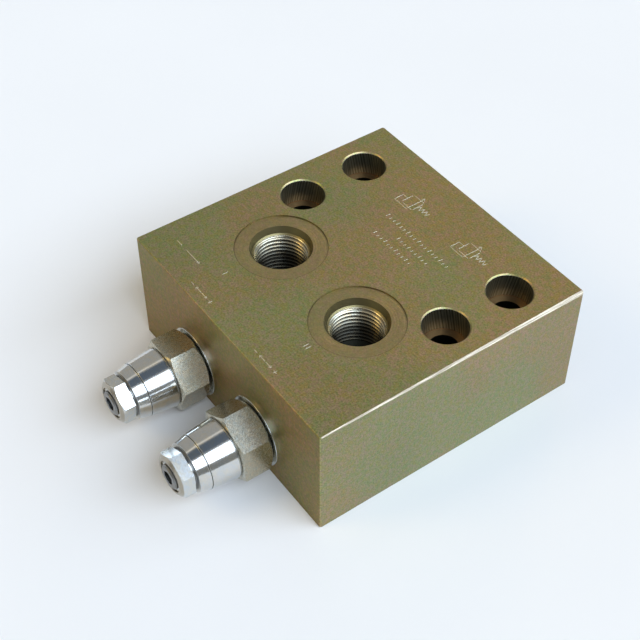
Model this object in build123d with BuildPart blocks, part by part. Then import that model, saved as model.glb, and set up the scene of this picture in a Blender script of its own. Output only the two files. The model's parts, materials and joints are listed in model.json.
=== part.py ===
from build123d import *
from math import cos, pi, radians, tan
import os

# A twin cross-port relief valve: a steel manifold block and two adjustable screw-in relief cartridges.
#
# The origin is the centre of the mounting-bolt rectangle on the underside of the block. +X runs across the
# block, +Z is up, and both cartridges leave the -Y face. All sizes are in millimetres.
#
# Each cartridge is drawn in its own section plane, where x is the radius and y is the distance OUT of the
# block's front face, so a negative distance is inside the block.

os.makedirs("parts", exist_ok=True)

# ---------------------------------------------------------------- driving dimensions: block
block_width = 120
block_length = 118
block_height = 50
block_front = -81
block_edge = 0.3
block_corner_radius = 1.0
ground_edge_front = 0.35
ground_edge_back = 1.15

bolt_spacing_x = 88
bolt_spacing_y = 30
bolt_hole_radius = 5.5
counterbore_radius = 8.75
counterbore_depth = 10.6
counterbore_chamfer = 0.5

port_x = 24
port_y = -39
spotface_radius = 17.75
spotface_depth = 0.4
port_mouth_radius = 12.1
port_cone_radius = 11.0
port_cone_depth = 2.75
port_thread_radius = 10.48
port_thread_end = 30
port_passage_radius = 5

outlet_radius = 6
face_seal_radius = 9.6
face_seal_cord = 2.0
face_groove_width = 2.6

# ---------------------------------------------------------------- driving dimensions: cartridges
cartridge_a_x = -20.4
cartridge_b_x = 21.2
cartridge_height = 16.6

cavity_thread_radius = 11.0
cavity_thread_end = -15
cavity_chamber_radius = 9.6
cavity_chamber_end = -31
cavity_nose_radius = 8.1
cavity_nose_end = -37
gallery_radius = 6.5
gallery_end = -88

cross_drill_radius = 3
cross_plug_radius = 4
cross_plug_hole = 9
cross_plug_length = 6
cross_plug_recess = 2.5

washer_radius = 14.0
washer_thickness = 1.2
washer_inner_radius = 12.0
washer_lip_radius = 11.0

body_hex = 25.4
body_hex_start = 1.25
body_hex_end = 14.2
body_back_radius = 11.7
body_back_angle = 35
body_front_radius = 12.4
body_front_angle = 17
body_shank_radius = 10.9
body_shank_end = -14

bonnet_socket_radius = 9.6
bonnet_socket_bottom = 2.0
cage_socket_radius = 8.0
cage_socket_top = -0.5

bonnet_ring_radius = 11.5
bonnet_ring_start = 14.25
bonnet_ring_end = 14.7
bonnet_start = 14.75
bonnet_start_radius = 11.9
bonnet_waist = 25.6
bonnet_waist_radius = 10.9
waist_groove_width = 0.5
waist_groove_radius = 10.3
bonnet_end = 30.2
bonnet_end_radius = 9.7

bonnet_groove_start = 5.0
bonnet_groove_end = 7.0
bonnet_seal_radius = 8.0
bonnet_seal_cord = 1.5

spring_chamber_radius = 7.0
spring_chamber_end = 23.3

screw_radius = 4.95
screw_hole_radius = 5.0
screw_start = 20.6
screw_end = 37.6
screw_socket = 5.0
screw_socket_depth = 5.0

nut_washer_start = 30.25
nut_washer_end = 30.75
nut_washer_radius = 8.4
nut_washer_hole = 5.3
nut_hex = 16
nut_start = 30.8
nut_end = 36.9
nut_face_radius = 7.0
nut_face_angle = 35
nut_recess_radius = 6.2
nut_recess_depth = 1.4

cage_radius = 8.0
cage_bore_radius = 5.0
cage_end = -36
cage_top = -0.6
cage_port_out = -23
cage_port_radius = 1.7
cage_port_count = 6
nose_groove_top = -31.2
nose_groove_bottom = -34.8
nose_groove_radius = 6.2
nose_seal_cord = 1.7
back_up_thickness = 0.85

seat_radius = 5.2
seat_top = -26
seat_hole_radius = 2.5

spring_wire = 1.7
spring_radius = 5.3
spring_turns = 4.0
spring_cap_face = 3.0
follower_face = 16.0
follower_back = 20.5
follower_radius = 6.95
follower_groove_start = 17.4
follower_groove_end = 19.3
follower_groove_radius = 5.4
follower_seal_cord = 1.5

# A running gap that lets one turned piece move in another, and a gap between pieces that stand still.
running_gap = 0.05
resting_gap = 0.02

# Corner angle of each hexagon, from +X towards +Z, as the pieces happened to tighten up.
cartridges = {
    "a": {"x": cartridge_a_x, "body_corner": 9, "nut_corner": 20},
    "b": {"x": cartridge_b_x, "body_corner": 32.5, "nut_corner": 31},
}


def section_plane(axis_x):
    """The plane of a cartridge's section: x is the radius and y is the distance out of the block."""
    return Plane(origin=(axis_x, block_front, cartridge_height), x_dir=(1, 0, 0), z_dir=(0, 0, -1))


def cross_plane(axis_x, out):
    """The plane square to a cartridge's axis at a distance out of the block, seen from outside."""
    return Plane(origin=(axis_x, block_front - out, cartridge_height), x_dir=(1, 0, 0), z_dir=(0, -1, 0))


def cartridge_axis(axis_x):
    """A cartridge's own axis, pointing out of the block."""
    return Axis(origin=(axis_x, block_front, cartridge_height), direction=(0, -1, 0))


def save(piece, node):
    """Label a finished piece and write it to its own STEP file."""
    piece.part.label = node
    export_step(piece.part, f"parts/{node}.step")


# ---------------------------------------------------------------- block
# The block is a plain bar. Port A and port B lead down to two galleries that run back along the cartridge
# axes to the outlets in the underside. Two cross drillings, one above the other, join the outlet chamber of
# each cartridge to the other side's gallery.
top = block_height
spotface = top - spotface_depth
outlets = [(cartridge["x"], 0) for cartridge in cartridges.values()]

# Each cross drilling runs in a level plane from the left side of the block to its far end.
cross_drillings = [
    {"start": (-block_width / 2, -72), "end": (cartridge_b_x, -40), "height": cartridge_height - 4},
    {"start": (-block_width / 2, -19.4), "end": (cartridge_b_x, -58), "height": cartridge_height + 4},
]


def drilling_plane(drilling):
    """The plane at a cross drilling's mouth, looking along the drill."""
    x, y = drilling["start"]
    end_x, end_y = drilling["end"]
    return Plane(origin=(x, y, drilling["height"]), x_dir=(0, 0, 1), z_dir=(end_x - x, end_y - y, 0))


def drilling_length(drilling):
    """How far a cross drilling runs from its mouth to its end."""
    return (Vector(*drilling["end"]) - Vector(*drilling["start"])).length


with BuildPart() as block:
    with BuildSketch(Plane.XY):
        with Locations((0, block_front + block_length / 2)):
            Rectangle(block_width, block_length)
    extrude(amount=block_height)
    fillet(block.edges().filter_by(Axis.Z), radius=block_corner_radius)
    rims = block.edges().group_by(Axis.Z)
    chamfer(rims[0] + rims[-1], length=block_edge)

    # The right top edge was also ground by hand, to a bevel that widens towards the back.
    ground_start = (block_width / 2 - ground_edge_front, block_front, block_height)
    widening = ground_edge_back - ground_edge_front
    ground_plane = Plane(origin=ground_start, z_dir=(block_length, widening, block_length))
    split(bisect_by=ground_plane, keep=Keep.BOTTOM)

    # Four counterbored holes for socket screws.
    with BuildSketch(Plane.XY):
        with GridLocations(bolt_spacing_x, bolt_spacing_y, 2, 2):
            Circle(bolt_hole_radius)
    extrude(amount=top, mode=Mode.SUBTRACT)
    with BuildSketch(Plane.XY.offset(top - counterbore_depth)):
        with GridLocations(bolt_spacing_x, bolt_spacing_y, 2, 2):
            Circle(counterbore_radius)
    extrude(amount=counterbore_depth, mode=Mode.SUBTRACT)
    counterbore_rims = (
        block.edges()
        .filter_by(GeomType.CIRCLE)
        .filter_by(lambda edge: abs(edge.radius - counterbore_radius) < 0.01)
        .filter_by_position(Axis.Z, top - 0.01, top + 0.01)
    )
    chamfer(counterbore_rims, length=counterbore_chamfer)

    # Each port: a shallow spotface, a steep lead-in cone, a chamfer down to the thread and a plain passage.
    for side in (-1, 1):
        port_axis = Axis(origin=(side * port_x, port_y, 0), direction=(0, 0, 1))
        cone_end = spotface - port_cone_depth
        thread_top = cone_end - (port_cone_radius - port_thread_radius)
        drill_point = port_thread_end - (port_thread_radius - port_passage_radius) * tan(radians(31))
        with BuildSketch(Plane(origin=(side * port_x, port_y, 0), x_dir=(1, 0, 0), z_dir=(0, -1, 0))):
            with BuildLine():
                Polyline(
                    (0, top + 1),
                    (spotface_radius, top + 1),
                    (spotface_radius, spotface),
                    (port_mouth_radius, spotface),
                    (port_cone_radius, cone_end),
                    (port_thread_radius, thread_top),
                    (port_thread_radius, port_thread_end),
                    (port_passage_radius, drill_point),
                    (port_passage_radius, cartridge_height - 2),
                    (0, cartridge_height - 2),
                    close=True,
                )
            make_face()
        revolve(axis=port_axis, mode=Mode.SUBTRACT)

    # Each cartridge cavity steps down from the thread to the gallery, which ends in a drill point.
    for cartridge in cartridges.values():
        with BuildSketch(section_plane(cartridge["x"])):
            with BuildLine():
                Polyline(
                    (0, 1),
                    (cavity_thread_radius + 0.6, 1),
                    (cavity_thread_radius + 0.6, 0),
                    (cavity_thread_radius, -0.6),
                    (cavity_thread_radius, cavity_thread_end),
                    (cavity_chamber_radius, cavity_thread_end - 1.4),
                    (cavity_chamber_radius, cavity_chamber_end + 0.6),
                    (cavity_nose_radius, cavity_chamber_end),
                    (cavity_nose_radius, cavity_nose_end),
                    (gallery_radius, cavity_nose_end - 0.9),
                    (gallery_radius, gallery_end),
                    (0, gallery_end - gallery_radius * tan(radians(31))),
                    close=True,
                )
            make_face()
        revolve(axis=cartridge_axis(cartridge["x"]), mode=Mode.SUBTRACT)

    # The outlets in the underside, each with a groove for its face seal.
    with BuildSketch(Plane.XY):
        with Locations(*outlets):
            Circle(outlet_radius)
    extrude(amount=cartridge_height + 1, mode=Mode.SUBTRACT)
    with BuildSketch(Plane.XY):
        with Locations(*outlets):
            Circle(face_seal_radius + face_groove_width / 2)
            Circle(face_seal_radius - face_groove_width / 2, mode=Mode.SUBTRACT)
    extrude(amount=face_seal_cord, mode=Mode.SUBTRACT)

    # The cross drillings, each opened out at its mouth for a plug.
    for drilling in cross_drillings:
        with BuildSketch(drilling_plane(drilling).offset(-cross_plug_radius)):
            Circle(cross_plug_radius)
        extrude(amount=cross_plug_radius + cross_plug_hole, mode=Mode.SUBTRACT)
        with BuildSketch(drilling_plane(drilling)):
            Circle(cross_drill_radius)
        extrude(amount=drilling_length(drilling), mode=Mode.SUBTRACT)
save(block, "valve_block")

with BuildPart() as plugs:
    for drilling in cross_drillings:
        with BuildSketch(drilling_plane(drilling).offset(cross_plug_recess)):
            Circle(cross_plug_radius - resting_gap)
        extrude(amount=cross_plug_length)
save(plugs, "drilling_plugs")

with BuildPart(Plane.XY.offset(face_seal_cord / 2)) as face_seals:
    with Locations(*outlets):
        Torus(face_seal_radius, face_seal_cord / 2)
save(face_seals, "face_o_rings")


# ---------------------------------------------------------------- turned pieces with a plain outline
def turned(axis_x, *outline):
    """A solid turned about a cartridge's axis from its closed outline of (radius, distance out) points."""
    with BuildPart() as piece:
        with BuildSketch(section_plane(axis_x)):
            with BuildLine():
                Polyline(*outline, close=True)
            make_face()
        revolve(axis=cartridge_axis(axis_x))
    return piece


def o_ring(axis_x, out, radius, cord):
    """A round seal about a cartridge's axis."""
    with BuildPart(cross_plane(axis_x, out)) as ring:
        Torus(radius, cord / 2)
    return ring


def flat_ring(axis_x, inner, outer, start, end):
    """A flat ring about a cartridge's axis, from one distance out to another."""
    return turned(axis_x, (inner, start), (outer, start), (outer, end), (inner, end))


# ---------------------------------------------------------------- cartridge pieces
def cartridge_body(axis_x, corner):
    """The large hexagon and its shank, bored for the cage at one end and the bonnet at the other."""
    corner_radius = body_hex / 2 / cos(pi / 6)
    back_crown = (corner_radius - body_back_radius) * tan(radians(body_back_angle))
    front_crown = (corner_radius - body_front_radius) * tan(radians(body_front_angle))
    with BuildPart() as body:
        with BuildSketch(cross_plane(axis_x, body_hex_start)):
            RegularPolygon(body_hex / 2, 6, major_radius=False, rotation=corner)
        extrude(amount=body_hex_end - body_hex_start)
        # Both ends of the hexagon are turned off to a cone.
        with BuildSketch(section_plane(axis_x)):
            with BuildLine():
                Polyline(
                    (0, body_hex_start),
                    (body_back_radius, body_hex_start),
                    (corner_radius, body_hex_start + back_crown),
                    (corner_radius, body_hex_end - front_crown),
                    (body_front_radius, body_hex_end),
                    (0, body_hex_end),
                    close=True,
                )
            make_face()
        revolve(axis=cartridge_axis(axis_x), mode=Mode.INTERSECT)
        # The shank reaches through the washer and into the block.
        with BuildSketch(section_plane(axis_x)):
            with BuildLine():
                Polyline(
                    (0, body_hex_start),
                    (washer_lip_radius - resting_gap, body_hex_start),
                    (washer_lip_radius - resting_gap, 0),
                    (body_shank_radius, 0),
                    (body_shank_radius, body_shank_end + 1),
                    (body_shank_radius - 1, body_shank_end),
                    (0, body_shank_end),
                    close=True,
                )
            make_face()
        revolve(axis=cartridge_axis(axis_x))
        # The stepped bore.
        with BuildSketch(section_plane(axis_x)):
            with BuildLine():
                Polyline(
                    (0, body_shank_end - 1),
                    (cage_socket_radius, body_shank_end - 1),
                    (cage_socket_radius, cage_socket_top),
                    (spring_chamber_radius + 0.2, cage_socket_top),
                    (spring_chamber_radius + 0.2, bonnet_socket_bottom),
                    (bonnet_socket_radius, bonnet_socket_bottom),
                    (bonnet_socket_radius, body_hex_end + 1),
                    (0, body_hex_end + 1),
                    close=True,
                )
            make_face()
        revolve(axis=cartridge_axis(axis_x), mode=Mode.SUBTRACT)
    return body


def bonnet(axis_x):
    """The tapered spring housing: a spigot in the body, a long taper, a groove and a conical collar."""
    spigot = bonnet_socket_radius - resting_gap
    groove_end = bonnet_waist + waist_groove_width
    collar_radius = bonnet_waist_radius - 0.2
    return turned(
        axis_x,
        (spring_chamber_radius, bonnet_socket_bottom + 0.2),
        (spigot, bonnet_socket_bottom + 0.2),
        (spigot, bonnet_groove_start),
        (bonnet_seal_radius, bonnet_groove_start),
        (bonnet_seal_radius, bonnet_groove_end),
        (spigot, bonnet_groove_end),
        (spigot, bonnet_start),
        (bonnet_start_radius - 0.3, bonnet_start),
        (bonnet_start_radius, bonnet_start + 0.3),
        (bonnet_waist_radius, bonnet_waist),
        (waist_groove_radius, bonnet_waist),
        (waist_groove_radius, groove_end),
        (collar_radius, groove_end),
        (bonnet_end_radius, bonnet_end),
        (screw_hole_radius + 0.5, bonnet_end),
        (screw_hole_radius, bonnet_end - 0.5),
        (screw_hole_radius, spring_chamber_end),
        (spring_chamber_radius, spring_chamber_end),
    )


def cage(axis_x):
    """The cartridge nose: a spigot in the body, radial outlet holes, and a groove for the nose seal."""
    with BuildPart() as nose:
        with BuildSketch(section_plane(axis_x)):
            with BuildLine():
                Polyline(
                    (cage_bore_radius, cage_top),
                    (cage_socket_radius - resting_gap, cage_top),
                    (cage_socket_radius - resting_gap, body_shank_end),
                    (cage_radius, body_shank_end),
                    (cage_radius, nose_groove_top),
                    (nose_groove_radius, nose_groove_top),
                    (nose_groove_radius, nose_groove_bottom),
                    (cage_radius, nose_groove_bottom),
                    (cage_radius, cage_end + 0.5),
                    (cage_radius - 0.5, cage_end),
                    (seat_radius, cage_end),
                    (seat_radius, seat_top),
                    (cage_bore_radius, seat_top),
                    close=True,
                )
            make_face()
        revolve(axis=cartridge_axis(axis_x))
        # The outlet holes stand round the axis like spokes.
        hub = (axis_x, block_front - cage_port_out, cartridge_height)
        for index in range(cage_port_count):
            angle = 360 / cage_port_count * index
            spoke = Vector(1, 0, 0).rotate(Axis.Y, angle)
            with BuildSketch(Plane(origin=hub, z_dir=spoke)):
                Circle(cage_port_radius)
            extrude(amount=cage_radius + 1, mode=Mode.SUBTRACT)
    return nose


def back_up_rings(axis_x):
    """The two flat rings that keep the nose seal from squeezing out, one on each side of it."""
    outer = cavity_nose_radius - resting_gap
    inner = nose_groove_radius + resting_gap
    with BuildPart() as rings:
        for start in (nose_groove_top - resting_gap - back_up_thickness, nose_groove_bottom + resting_gap):
            with BuildSketch(cross_plane(axis_x, start)):
                Circle(outer)
                Circle(inner, mode=Mode.SUBTRACT)
            extrude(amount=back_up_thickness)
    return rings


def poppet(axis_x):
    """A cone poppet: the cone closes the seat, the land guides it and the stem carries the spring cap."""
    lift = running_gap
    return turned(
        axis_x,
        (0, seat_top - 1.2 + lift),
        (seat_hole_radius - 1.2, seat_top - 1.2 + lift),
        (seat_hole_radius + 1.0, seat_top + 1.0 + lift),
        (seat_hole_radius + 1.0, -20.5),
        (cage_bore_radius - running_gap, -19.5),
        (cage_bore_radius - running_gap, -8),
        (seat_hole_radius + 1.0, -7),
        (seat_hole_radius + 1.0, spring_cap_face - 1.8),
        (2.2, spring_cap_face - 1.8),
        (2.2, spring_cap_face + 1.2),
        (0, spring_cap_face + 1.2),
    )


def spring_cap(axis_x):
    """The plate on the poppet's stem that the spring stands on."""
    return turned(
        axis_x,
        (2.2 + resting_gap, spring_cap_face - 1.8),
        (6.5, spring_cap_face - 1.8),
        (6.5, spring_cap_face),
        (3.9, spring_cap_face),
        (3.9, spring_cap_face + 2.2),
        (2.2 + resting_gap, spring_cap_face + 2.2),
    )


def spring(axis_x):
    """The compression spring, one round wire wound between the cap and the follower."""
    start = spring_cap_face + spring_wire / 2 + resting_gap
    height = follower_face - spring_wire / 2 - resting_gap - start
    with BuildPart() as coil:
        with BuildLine() as wire_path:
            Helix(
                pitch=height / spring_turns,
                height=height,
                radius=spring_radius,
                center=(axis_x, block_front - start, cartridge_height),
                direction=(0, -1, 0),
            )
        with BuildSketch(Plane(origin=wire_path.line @ 0, z_dir=wire_path.line % 0)):
            Circle(spring_wire / 2)
        sweep(path=wire_path.line, is_frenet=True)
    return coil


def follower(axis_x):
    """The sealed piston between the adjusting screw and the spring."""
    return turned(
        axis_x,
        (0, follower_face - 2.8),
        (3.3, follower_face - 2.8),
        (3.9, follower_face - 2.2),
        (3.9, follower_face),
        (follower_radius, follower_face),
        (follower_radius, follower_groove_start),
        (follower_groove_radius, follower_groove_start),
        (follower_groove_radius, follower_groove_end),
        (follower_radius, follower_groove_end),
        (follower_radius, follower_back),
        (0, follower_back),
    )


def adjusting_screw(axis_x, corner):
    """A set screw with a hexagon socket in its outer end."""
    with BuildPart() as screw:
        with BuildSketch(section_plane(axis_x)):
            with BuildLine():
                Polyline(
                    (0, screw_start),
                    (screw_radius - 1.0, screw_start),
                    (screw_radius, screw_start + 1.0),
                    (screw_radius, screw_end - 0.6),
                    (screw_radius - 0.6, screw_end),
                    (0, screw_end),
                    close=True,
                )
            make_face()
        revolve(axis=cartridge_axis(axis_x))
        with BuildSketch(cross_plane(axis_x, screw_end - screw_socket_depth)):
            RegularPolygon(screw_socket / 2, 6, major_radius=False, rotation=corner)
        extrude(amount=screw_socket_depth, mode=Mode.SUBTRACT)
    return screw


def lock_nut(axis_x, corner):
    """A hexagon nut with a washer face, a chamfered outer end and a countersunk thread."""
    corner_radius = nut_hex / 2 / cos(pi / 6)
    crown = (corner_radius - nut_face_radius) * tan(radians(nut_face_angle))
    with BuildPart() as nut:
        with BuildSketch(cross_plane(axis_x, nut_start)):
            RegularPolygon(nut_hex / 2, 6, major_radius=False, rotation=corner)
        extrude(amount=nut_end - nut_start)
        with BuildSketch(section_plane(axis_x)):
            with BuildLine():
                Polyline(
                    (0, nut_start),
                    (nut_hex / 2 - 0.2, nut_start),
                    (nut_hex / 2 - 0.2, nut_start + 0.4),
                    (corner_radius, nut_start + 0.4),
                    (corner_radius, nut_end - crown),
                    (nut_face_radius, nut_end),
                    (0, nut_end),
                    close=True,
                )
            make_face()
        revolve(axis=cartridge_axis(axis_x), mode=Mode.INTERSECT)
        with BuildSketch(section_plane(axis_x)):
            with BuildLine():
                Polyline(
                    (0, nut_start - 1),
                    (screw_hole_radius, nut_start - 1),
                    (screw_hole_radius, nut_end - nut_recess_depth),
                    (nut_recess_radius, nut_end - nut_recess_depth / 2),
                    (nut_recess_radius, nut_end + 1),
                    (0, nut_end + 1),
                    close=True,
                )
            make_face()
        revolve(axis=cartridge_axis(axis_x), mode=Mode.SUBTRACT)
    return nut


# ---------------------------------------------------------------- both cartridges
bonnet_seal_out = (bonnet_groove_start + bonnet_groove_end) / 2
follower_seal_out = (follower_groove_start + follower_groove_end) / 2
nose_seal_out = (nose_groove_top + nose_groove_bottom) / 2
bonnet_seal_centre = bonnet_socket_radius - resting_gap - bonnet_seal_cord / 2
follower_seal_centre = follower_radius - follower_seal_cord / 2
nose_seal_centre = cavity_nose_radius - resting_gap - nose_seal_cord / 2
washer_lip_outer = washer_inner_radius - resting_gap

for name, cartridge in cartridges.items():
    x = cartridge["x"]
    pieces = {
        "sealing_washer": flat_ring(x, washer_inner_radius, washer_radius, 0, washer_thickness),
        "washer_seal": flat_ring(x, washer_lip_radius, washer_lip_outer, 0, washer_thickness),
        "cartridge_body": cartridge_body(x, cartridge["body_corner"]),
        "bonnet_ring": flat_ring(x, bonnet_socket_radius, bonnet_ring_radius, bonnet_ring_start, bonnet_ring_end),
        "bonnet": bonnet(x),
        "bonnet_o_ring": o_ring(x, bonnet_seal_out, bonnet_seal_centre, bonnet_seal_cord),
        "cage": cage(x),
        "seat": flat_ring(x, seat_hole_radius, seat_radius - resting_gap, cage_end, seat_top),
        "nose_o_ring": o_ring(x, nose_seal_out, nose_seal_centre, nose_seal_cord),
        "back_up_rings": back_up_rings(x),
        "poppet": poppet(x),
        "spring_cap": spring_cap(x),
        "spring": spring(x),
        "spring_follower": follower(x),
        "follower_o_ring": o_ring(x, follower_seal_out, follower_seal_centre, follower_seal_cord),
        "adjusting_screw": adjusting_screw(x, cartridge["nut_corner"]),
        "nut_washer": flat_ring(x, nut_washer_hole, nut_washer_radius, nut_washer_start, nut_washer_end),
        "lock_nut": lock_nut(x, cartridge["nut_corner"]),
    }
    for piece_name, piece in pieces.items():
        save(piece, f"{piece_name}_{name}")
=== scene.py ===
# %% [markdown]
# # A cross-port relief valve block
#
# The object is a plated steel block with two threaded ports on top, four counterbored mounting holes, and
# two screw-in relief cartridges in its front face. The CAD model already holds every piece at its real
# size. This file adds what the CAD leaves out, and gives every surface a finish worked out from its own
# coordinates. The additions are the thread in each port, springs made in two halves, the small rounds on
# turned edges, and the scribed marks. Sizes are in metres, and +Z is up.

# %% Load the frame
import json
from math import cos, pi, radians, sin

import bpy
import numpy as np
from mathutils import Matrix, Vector


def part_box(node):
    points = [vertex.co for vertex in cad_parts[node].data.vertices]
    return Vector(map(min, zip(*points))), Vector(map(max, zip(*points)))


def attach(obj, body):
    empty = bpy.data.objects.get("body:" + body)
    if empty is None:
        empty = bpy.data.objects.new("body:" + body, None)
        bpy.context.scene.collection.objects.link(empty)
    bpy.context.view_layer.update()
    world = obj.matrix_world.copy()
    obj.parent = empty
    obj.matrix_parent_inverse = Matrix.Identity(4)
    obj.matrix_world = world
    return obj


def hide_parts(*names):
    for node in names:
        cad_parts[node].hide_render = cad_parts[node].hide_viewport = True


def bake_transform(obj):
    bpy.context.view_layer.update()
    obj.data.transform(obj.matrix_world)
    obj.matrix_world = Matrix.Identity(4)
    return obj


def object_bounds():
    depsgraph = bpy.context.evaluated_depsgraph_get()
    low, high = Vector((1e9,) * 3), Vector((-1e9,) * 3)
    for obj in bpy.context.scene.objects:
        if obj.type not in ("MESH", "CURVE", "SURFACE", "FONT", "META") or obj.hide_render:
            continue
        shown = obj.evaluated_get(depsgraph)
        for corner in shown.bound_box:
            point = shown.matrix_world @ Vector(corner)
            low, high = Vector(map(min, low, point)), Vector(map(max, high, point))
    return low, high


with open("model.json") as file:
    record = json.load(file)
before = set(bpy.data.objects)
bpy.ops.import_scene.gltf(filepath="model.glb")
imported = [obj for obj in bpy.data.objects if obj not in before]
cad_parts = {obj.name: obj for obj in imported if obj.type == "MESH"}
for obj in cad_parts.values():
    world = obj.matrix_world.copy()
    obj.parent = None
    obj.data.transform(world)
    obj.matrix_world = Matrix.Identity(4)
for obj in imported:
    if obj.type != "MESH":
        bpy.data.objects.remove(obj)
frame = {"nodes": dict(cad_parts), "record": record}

cad_low, cad_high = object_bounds()
nodes = frame["nodes"]
mm = 0.001
print("CAD box", [round(v, 4) for v in (*cad_low, *cad_high)])

# %% [markdown]
# ## Places
#
# Most places are read from the frame, so the looks follow the CAD if a piece moves. The ports and bolts
# come from the record's mounts, and a cartridge's axis is the middle of its lock nut. The cuts in the
# block and the groove in a bonnet are not in the record, so their sizes are written down here, next to
# each other.

# %% Places on the block and along the cartridges
mounts = {mount["name"]: mount for mount in frame["record"]["mounts"]}
block_low, block_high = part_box("valve_block")
top_z = block_high.z
port_x, port_y, thread_top = mounts["port_b"]["pos_m"]
thread_radius = mounts["port_b"]["dims"]["r_mm"] * mm
thread_length = mounts["port_b"]["dims"]["length_mm"] * mm
bolt_x = mounts["mounting_bolts"]["dims"]["spacing_x_mm"] * mm / 2
bolt_y = mounts["mounting_bolts"]["dims"]["spacing_y_mm"] * mm / 2
nut_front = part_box("lock_nut_b")[0].y
bonnet_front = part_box("bonnet_b")[0].y
cartridge_a_x = sum(corner.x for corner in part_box("lock_nut_a")) / 2
cartridge_b_x = sum(corner.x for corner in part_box("lock_nut_b")) / 2
print("ports at x", round(port_x, 4), "y", round(port_y, 4))
print("cartridges at x", round(cartridge_a_x, 4), round(cartridge_b_x, 4))

# %% Sizes of the cuts
spotface_radius = 17.72 * mm
spotface_z = top_z - 0.42 * mm
mouth_radius = 12.1 * mm
thread_crest = 9.5 * mm
counterbore_radius = 8.75 * mm
ledge_z = top_z - 10.6 * mm
bore_radius = 5.6 * mm
groove_start = 4.1 * mm
groove_end = 4.6 * mm
print("thread", round(2 * thread_radius, 5), "m outside and", round(2 * thread_crest, 5), "m inside")


# %% [markdown]
# ## Making a surface from two parameters
#
# A thread, or the thin burr beside a scribed line, is easiest to say as a formula: a point for every pair
# of parameters (u, v). The points fill a grid, and each cell of the grid becomes one four-sided face.
# When both directions join up with themselves the grid closes into a ring, as a thread's sleeve does.
# When one direction ends in a point at both ends it closes into a bead, with a fan of triangles at each
# pole.

# %% Helpers: a mesh from points and faces
def add_mesh(name, points, faces):
    """Make an object with smooth shading from an (n, 3) array of points and a list of faces."""
    mesh = bpy.data.meshes.new(name)
    mesh.from_pydata(points.tolist(), [], [face.tolist() for face in faces])
    mesh.polygons.foreach_set("use_smooth", np.full(len(mesh.polygons), True))
    mesh.update()
    made = bpy.data.objects.new(name, mesh)
    bpy.context.scene.collection.objects.link(made)
    print(name, len(mesh.polygons), "faces")
    return made


def ring_faces(rows, columns):
    """Quads of a (rows, columns) grid of points whose two directions both join up."""
    row, column = np.meshgrid(np.arange(rows), np.arange(columns), indexing="ij")
    next_row = (row + 1) % rows
    next_column = (column + 1) % columns
    corners = (
        row * columns + column,
        next_row * columns + column,
        next_row * columns + next_column,
        row * columns + next_column,
    )
    return np.stack(corners, axis=-1).reshape(-1, 4)


def tube_faces(rows, columns):
    """Faces of a (rows, columns) tube of points, with a fan to a pole at each end.

    The two poles come after the grid's own points.
    """
    row, column = np.meshgrid(np.arange(rows - 1), np.arange(columns), indexing="ij")
    beside = (column + 1) % columns
    here = row * columns
    ahead = here + columns
    corners = (here + column, here + beside, ahead + beside, ahead + column)
    quads = np.stack(corners, axis=-1).reshape(-1, 4)
    rim = np.arange(columns)
    next_rim = (rim + 1) % columns
    last = (rows - 1) * columns
    pole = np.full(columns, rows * columns)
    first_fan = np.stack([pole, next_rim, rim], axis=-1)
    last_fan = np.stack([pole + 1, last + rim, last + next_rim], axis=-1)
    return list(quads) + list(first_fan) + list(last_fan)


def finish_piece(piece, body, material):
    """Hand a finished piece to its body and its material."""
    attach(piece, body)
    piece.data.materials.append(material)


print("a 4 by 6 ring has", len(ring_faces(4, 6)), "faces, and a tube", len(tube_faces(4, 6)))


# %% [markdown]
# ## Shader helpers
#
# A finish is a tree of small shader nodes. These helpers keep a tree short to write: each adds one node,
# sets or links its inputs, and hands back its output.

# %% Helpers: arithmetic nodes
def link(tree, value, plug):
    """Link a socket to a plug, or set the plug to a plain number, vector or colour."""
    if isinstance(value, bpy.types.NodeSocket):
        tree.links.new(value, plug)
    else:
        plug.default_value = value


def math_node(tree, operation, first, second=0.0):
    """One step of arithmetic on one or two values."""
    made = tree.nodes.new("ShaderNodeMath")
    made.operation = operation
    link(tree, first, made.inputs[0])
    link(tree, second, made.inputs[1])
    return made.outputs[0]


def vector_node(tree, operation, first, second=(0, 0, 0), scale=None):
    """One step of arithmetic on vectors."""
    made = tree.nodes.new("ShaderNodeVectorMath")
    made.operation = operation
    link(tree, first, made.inputs[0])
    link(tree, second, made.inputs[1])
    if scale is not None:
        link(tree, scale, made.inputs["Scale"])
    return made.outputs["Value" if operation in ("LENGTH", "DOT_PRODUCT") else "Vector"]


def split_node(tree, vector):
    """The three parts of a vector."""
    made = tree.nodes.new("ShaderNodeSeparateXYZ")
    link(tree, vector, made.inputs[0])
    return made.outputs


def join_node(tree, x, y, z):
    """A vector from its three parts."""
    made = tree.nodes.new("ShaderNodeCombineXYZ")
    for plug, part in zip(made.inputs, (x, y, z)):
        link(tree, part, plug)
    return made.outputs[0]


def round_axis(tree, x, y, axis_x, axis_y):
    """Where a point lies from an upright axis, as a level vector."""
    return join_node(
        tree, math_node(tree, "SUBTRACT", x, axis_x), math_node(tree, "SUBTRACT", y, axis_y), 0.0
    )


print("arithmetic helpers: value, vector, split, join, place round an axis")


# %% Helpers: masks, noise, colour and bump
def range_node(tree, value, start, end, low, high):
    """A straight ramp from low at start to high at end."""
    made = tree.nodes.new("ShaderNodeMapRange")
    for plug, setting in zip(made.inputs, (value, start, end, low, high)):
        link(tree, setting, plug)
    return made.outputs[0]


def step_node(tree, value, start, end, low=0.0, high=1.0):
    """A smooth step: low before start, high after end."""
    stepped = range_node(tree, value, start, end, low, high)
    stepped.node.interpolation_type = "SMOOTHSTEP"
    return stepped


def between(tree, value, low, high, soft):
    """A mask that is 1 while a value lies between two limits, with soft ends."""
    rising = step_node(tree, value, low - soft, low + soft)
    falling = step_node(tree, value, high - soft, high + soft, 1.0, 0.0)
    return math_node(tree, "MULTIPLY", rising, falling)


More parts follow.
